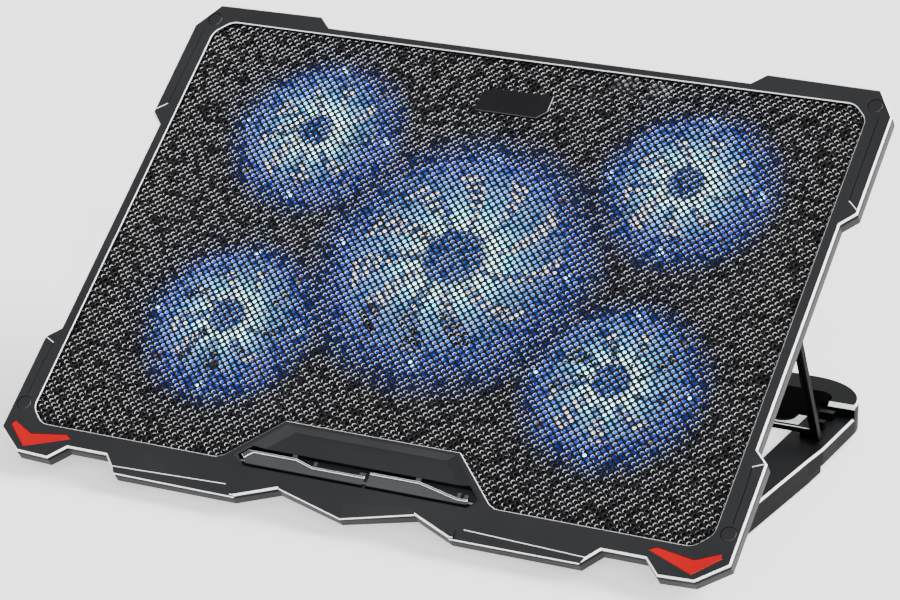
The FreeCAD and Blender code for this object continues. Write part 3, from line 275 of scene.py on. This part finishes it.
def bevelled(name, colour, rough, up, side=0.35, **sockets):
    """Moulded plastic with a painted highlight, near-white and glossier, on the bevels round its top, and painted
    shade, darker and duller, on its upright sides.
    """
    material = moulded(name, colour, rough, **sockets)
    node = principled(material)
    colour_in, rough_in = node.inputs["Base Color"], node.inputs["Roughness"]
    sheen_in = node.inputs["Specular IOR Level"]
    look = facing(material, up)
    # Painted highlight: faces tilted about 45 degrees from the way up take a near-white colour.
    highlight_mask = ramp(material, look, HIGHLIGHT_BAND)
    wall = ramp(material, look, SHADE_BAND)
    sheen = sheen_in.default_value
    wire(material, ramp(material, wall, [(0.0, (sheen,)), (1.0, (sheen * 0.12,))]), sheen_in)
    # Painted shade: upright walls take the colour darkened by the side factor.
    plain = mix(material, wall, source_of(colour_in), (*(c * side for c in colour), 1))
    wire(material, mix(material, highlight_mask, plain, PAINTED_HIGHLIGHT), colour_in)
    wire(material, mix(material, highlight_mask, source_of(rough_in), 0.2, "FLOAT"), rough_in)
    return material


def metal(name, colour, rough, scratch=900.0):
    """Bare metal with a fine uneven polish."""
    material = new_material(name)
    node = shader(material, colour, rough, Metallic=1.0)
    fine = grain(material, scratch, 4.0)
    bump(material, fine, 0.00001, 0.5)
    wire(material, ramp(material, fine, [(0.3, (rough - 0.06,)), (0.7, (rough + 0.08,))]),
         node.inputs["Roughness"])
    return material


def mesh_paint():
    """Black glossy coat on the metal mesh, with a painted highlight on the walls of the holes: near-white colour
    in scattered patches.
    """
    material = moulded("mesh_paint", (0.003, 0.003, 0.0035), 0.26, texture=2600.0, relief=0.00001,
                       Specular_IOR_Level=0.35)
    colour_in = principled(material).inputs["Base Color"]
    # Painted highlight: near-white colour on the walls of the holes, in patches picked by noise.
    glint_mask = ramp(material, facing(material, NORMAL), [(0.0, (1,)), (0.52, (1,)), (0.6, (0,))])
    spots = ramp(material, grain(material, 260.0, 2.0), [(0.43, (0,)), (0.5, (1,))])
    glint_mask = mix(material, spots, BLACK, glint_mask)
    wire(material, mix(material, glint_mask, source_of(colour_in), HOLE_HIGHLIGHT), colour_in)
    return material


def glow_field(material, reach):
    """Distance from the middle of the nearest fan, as a share of reach times that fan's radius."""
    place = add(material, "ShaderNodeTexCoord")
    nearest = None
    for name, radius in FAN_RADII.items():
        away = add(material, "ShaderNodeVectorMath", operation="DISTANCE")
        wire(material, place.outputs["Object"], away.inputs[0])
        away.inputs[1].default_value = Vector(JOINTS[f"fan_spin_{name}"]["pos_m"])
        share = add(material, "ShaderNodeMath", operation="DIVIDE")
        wire(material, away.outputs["Value"], share.inputs[0])
        share.inputs[1].default_value = radius * MM * reach
        if nearest is None:
            nearest = share.outputs[0]
            continue
        least = add(material, "ShaderNodeMath", operation="MINIMUM")
        wire(material, nearest, least.inputs[0])
        wire(material, share.outputs[0], least.inputs[1])
        nearest = least.outputs[0]
    return nearest


def lit(material, stops, strength, reach=1.0):
    """Painted light: an emission glow, broken by noise, standing in for the light thrown by the lamps; stops give
    its colour by distance in fan radii, out to reach.
    """
    node = principled(material)
    streaks = ramp(material, grain(material, 34.0, 5.0, 0.6), [(0.34, (0.45,)), (0.66, (1.25,))])
    field = ramp(material, glow_field(material, reach), [(share / reach, colour) for share, colour in stops])
    power = add(material, "ShaderNodeMath", operation="MULTIPLY")
    wire(material, streaks, power.inputs[0])
    power.inputs[1].default_value = strength
    wire(material, field, node.inputs["Emission Color"])
    wire(material, power.outputs[0], node.inputs["Emission Strength"])
    return material


def rotor():
    """Clear dark blue blades with painted light: a glow standing in for the lamps' light, white-blue round the
    hub, deep blue at the tips.
    """
    material = moulded("rotor_plastic", (0.002, 0.012, 0.09), 0.3, relief=0.000005, Specular_IOR_Level=0.1)
    stops = [(0.0, (0.0, 0.008, 0.06)), (0.28, (0.0, 0.01, 0.1)), (0.34, (0.5, 1.0, 1.0)),
             (0.46, (0.02, 0.66, 0.9)), (0.58, (0.0, 0.17, 0.42)), (0.78, (0.0, 0.05, 0.24)),
             (1.0, (0.0, 0.014, 0.15))]
    return lit(material, stops, 9.0)


def lit_frame():
    """Black fan frames with painted light: a blue glow standing in for the lamps' light."""
    stops = [(0.0, (0.0, 0.1, 0.7)), (0.5, (0.0, 0.35, 1.0)), (1.0, (0.0, 0.04, 0.9))]
    return lit(moulded("fan_plastic", (0.006, 0.006, 0.007), 0.4, Specular_IOR_Level=0.15), stops, 1.6)


def shell():
    """Black housing; painted light: its floor inside glows blue round the fans, standing in for the lamps' light.
    """
    material = moulded("shell_plastic", (0.006, 0.006, 0.0065), 0.45, texture=1200.0, relief=0.00004,
                       Specular_IOR_Level=0.3)
    stops = [(0.0, (0.0, 0.12, 0.8)), (0.9, (0.0, 0.06, 0.9)), (1.05, (0.0, 0.015, 0.5)),
             (1.22, (0.0, 0.008, 0.16)), (1.38, (0, 0, 0))]
    lit(material, stops, 1.5, reach=1.5)
    glow_in = principled(material).inputs["Emission Color"]
    # Painted light: the blue glow is kept to faces looking along the pad's normal, and is black elsewhere.
    inside = ramp(material, facing(material, NORMAL), [(0.6, (0,)), (0.9, (1,))])
    wire(material, mix(material, inside, BLACK, source_of(glow_in)), glow_in)
    return material


def lens():
    """Clear lens of a lamp, lit from within."""
    material = new_material("led_lens")
    shader(material, (0.1, 0.5, 1.0), 0.15, Emission_Color=(0.05, 0.45, 1.0, 1), Emission_Strength=14.0)
    bump(material, grain(material, 700.0), 0.00001, 0.4)
    return material


def materials():
    """Every finish by the material slot that wears it."""
    up = Vector((0, 0, 1))
    return {
        # Bezel, stoppers and stand wear a painted highlight on their bevels and painted shade on their upright
        # sides.
        "bezel_plastic": bevelled("bezel_plastic", (0.013, 0.014, 0.016), 0.36, NORMAL, texture=1500.0),
        "shell_plastic": shell(),
        "mesh_metal": mesh_paint(),
        "badge_plastic": moulded("badge_plastic", (0.004, 0.004, 0.005), 0.14, relief=0.000004),
        "red_plastic": moulded("red_plastic", (0.46, 0.0, 0.004), 0.28, relief=0.000006,
                               Specular_IOR_Level=0.25),
        "cap_plastic": moulded("cap_plastic", (0.012, 0.012, 0.014), 0.35),
        "stopper_plastic": bevelled("stopper_plastic", (0.045, 0.047, 0.050), 0.2, NORMAL, relief=0.000006),
        "steel": metal("steel", (0.62, 0.62, 0.63), 0.28),
        "led_lens": lens(),
        "circuit_board": moulded("circuit_board", (0.006, 0.0065, 0.007), 0.3),
        "socket_metal": metal("socket_metal", (0.78, 0.78, 0.79), 0.22),
        "tongue_plastic": moulded("tongue_plastic", (0.70, 0.70, 0.69), 0.4),
        "switch_plastic": moulded("switch_plastic", (0.02, 0.021, 0.023), 0.4),
        "fan_plastic": lit_frame(),
        "rotor_plastic": rotor(),
        "stand_plastic": bevelled("stand_plastic", (0.005, 0.0053, 0.006), 0.42, up, side=0.3, texture=1300.0,
                                  Specular_IOR_Level=0.16),
        "foot_rubber": moulded("foot_rubber", (0.010, 0.010, 0.010), 0.8, texture=500.0, relief=0.0001),
    }


def dress(finishes):
    """Give every CAD node the material of its slot."""
    for part in frame["record"]["subparts"]:
        item = frame["nodes"][part["node"]]
        item.data.materials.clear()
        item.data.materials.append(finishes[part["material_slot"]])


# ---------------------------------------------------------------- the perforated mesh

# All in millimetres. Rows of cells are half a pitch apart, and every second one is shifted by half a pitch.
MESH_PITCH = 4.4
MESH_HALF = MESH_PITCH / 2
SHEET_SIDE, SHEET_FRONT, SHEET_REAR = 194.0, 15.9, 288.4
SHEET_CUT = 8.5
NOTCH_REAR = 43.1
NOTCH_HALF_REAR, NOTCH_HALF_FRONT = 46.9, 78.6
SHEET_TOP, SHEET_BOTTOM = -1.62, -2.28
RIM_RADIUS, LIP_RADIUS, LOW_RADIUS = 1.36, 1.18, 0.98
LIP_DROP = 0.16

# Where each ring of points starts in a cell: top corners, lip of the hole, its rim, bottom corners, bottom rim.
CORNERS, LIP, RIM, LOW_CORNERS, LOW_RIM = 0, 4, 12, 20, 24


def cell_centres():
    """The x and v of every cell on the sheet: a rectangle with cut corners, notched round the tray."""
    columns = int(2 * SHEET_SIDE / MESH_PITCH) + 2
    rows = int((SHEET_REAR - SHEET_FRONT) / MESH_HALF) + 2
    index_x, index_v = np.meshgrid(np.arange(-columns, columns + 1), np.arange(rows))
    staggered = (index_x + index_v) % 2 == 0
    x = index_x[staggered] * MESH_HALF
    v = SHEET_FRONT + index_v[staggered] * MESH_HALF
    side = np.abs(x)
    on_sheet = (side < SHEET_SIDE) & (v > SHEET_FRONT) & (v < SHEET_REAR)
    on_sheet &= side + v < SHEET_SIDE + SHEET_REAR - SHEET_CUT
    on_sheet &= side - v < SHEET_SIDE - SHEET_FRONT - SHEET_CUT
    spread = (NOTCH_HALF_FRONT - NOTCH_HALF_REAR) / (NOTCH_REAR - SHEET_FRONT)
    in_notch = (v < NOTCH_REAR) & (side < NOTCH_HALF_REAR + (NOTCH_REAR - v) * spread)
    chosen = on_sheet & ~in_notch
    return x[chosen], v[chosen]


def cell_points():
    """Points of one diamond cell about its centre."""
    diamond = np.array([(1, 0), (0, 1), (-1, 0), (0, -1)]) * MESH_HALF
    angles = np.arange(8) * math.pi / 4
    circle = np.column_stack([np.cos(angles), np.sin(angles)])
    rings = (
        (diamond, SHEET_TOP),
        (circle * LIP_RADIUS, SHEET_TOP - LIP_DROP),
        (circle * RIM_RADIUS, SHEET_TOP),
        (diamond, SHEET_BOTTOM),
        (circle * LOW_RADIUS, SHEET_BOTTOM),
    )
    return np.concatenate([np.column_stack([ring, np.full(len(ring), height)]) for ring, height in rings])


def cell_faces():
    """Triangles of one cell: flat top and bottom round the hole, then its chamfer and tapered wall."""
    faces = []
    for k in range(4):
        n = (k + 1) % 4
        first, middle, last = 2 * k, 2 * k + 1, (2 * k + 2) % 8
        faces += [(CORNERS + k, CORNERS + n, RIM + middle), (CORNERS + k, RIM + middle, RIM + first)]
        faces += [(CORNERS + n, RIM + last, RIM + middle)]
        faces += [(LOW_CORNERS + k, LOW_RIM + middle, LOW_CORNERS + n)]
        faces += [(LOW_CORNERS + k, LOW_RIM + first, LOW_RIM + middle)]
        faces += [(LOW_CORNERS + n, LOW_RIM + middle, LOW_RIM + last)]
    for k in range(8):
        n = (k + 1) % 8
        faces += [(RIM + k, RIM + n, LIP + n), (RIM + k, LIP + n, LIP + k)]
        faces += [(LIP + k, LIP + n, LOW_RIM + n), (LIP + k, LOW_RIM + n, LOW_RIM + k)]
    return np.array(faces)


def mesh_from(name, points, triangles):
    """A mesh of triangles from arrays of points and of their indices."""
    mesh = bpy.data.meshes.new(name)
    mesh.vertices.add(len(points))
    mesh.vertices.foreach_set("co", points.astype(np.float32).ravel())
    mesh.loops.add(triangles.size)
    mesh.loops.foreach_set("vertex_index", triangles.astype(np.int32).ravel())
    mesh.polygons.add(len(triangles))
    mesh.polygons.foreach_set("loop_start", np.arange(0, triangles.size, 3, dtype=np.int32))
    mesh.update(calc_edges=True)
    mesh.validate()
    return mesh


def perforated_mesh(finish):
    """Sheet of diamond cells, each with a tapered eight-sided hole, in place of the plain CAD sheet."""
    x, v = cell_centres()
    cell, faces = cell_points(), cell_faces()
    centres = np.column_stack([x, v, np.zeros_like(x)])
    points = (centres[:, None, :] + cell[None, :, :]).reshape(-1, 3)
    starts = np.arange(len(x)) * len(cell)
    triangles = (faces[None, :, :] + starts[:, None, None]).reshape(-1, 3)
    points[:, 0] = np.clip(points[:, 0], -SHEET_SIDE, SHEET_SIDE)
    points[:, 1] = np.clip(points[:, 1], SHEET_FRONT, SHEET_REAR)
    mesh = mesh_from("perforated_mesh", from_pad(points), triangles)
    mesh.materials.append(finish)
    item = link("perforated_mesh", mesh)
    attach(item, "pad")
    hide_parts("mesh_panel")


finishes = materials()
dress(finishes)
perforated_mesh(finishes["mesh_metal"])
camera()
studio()
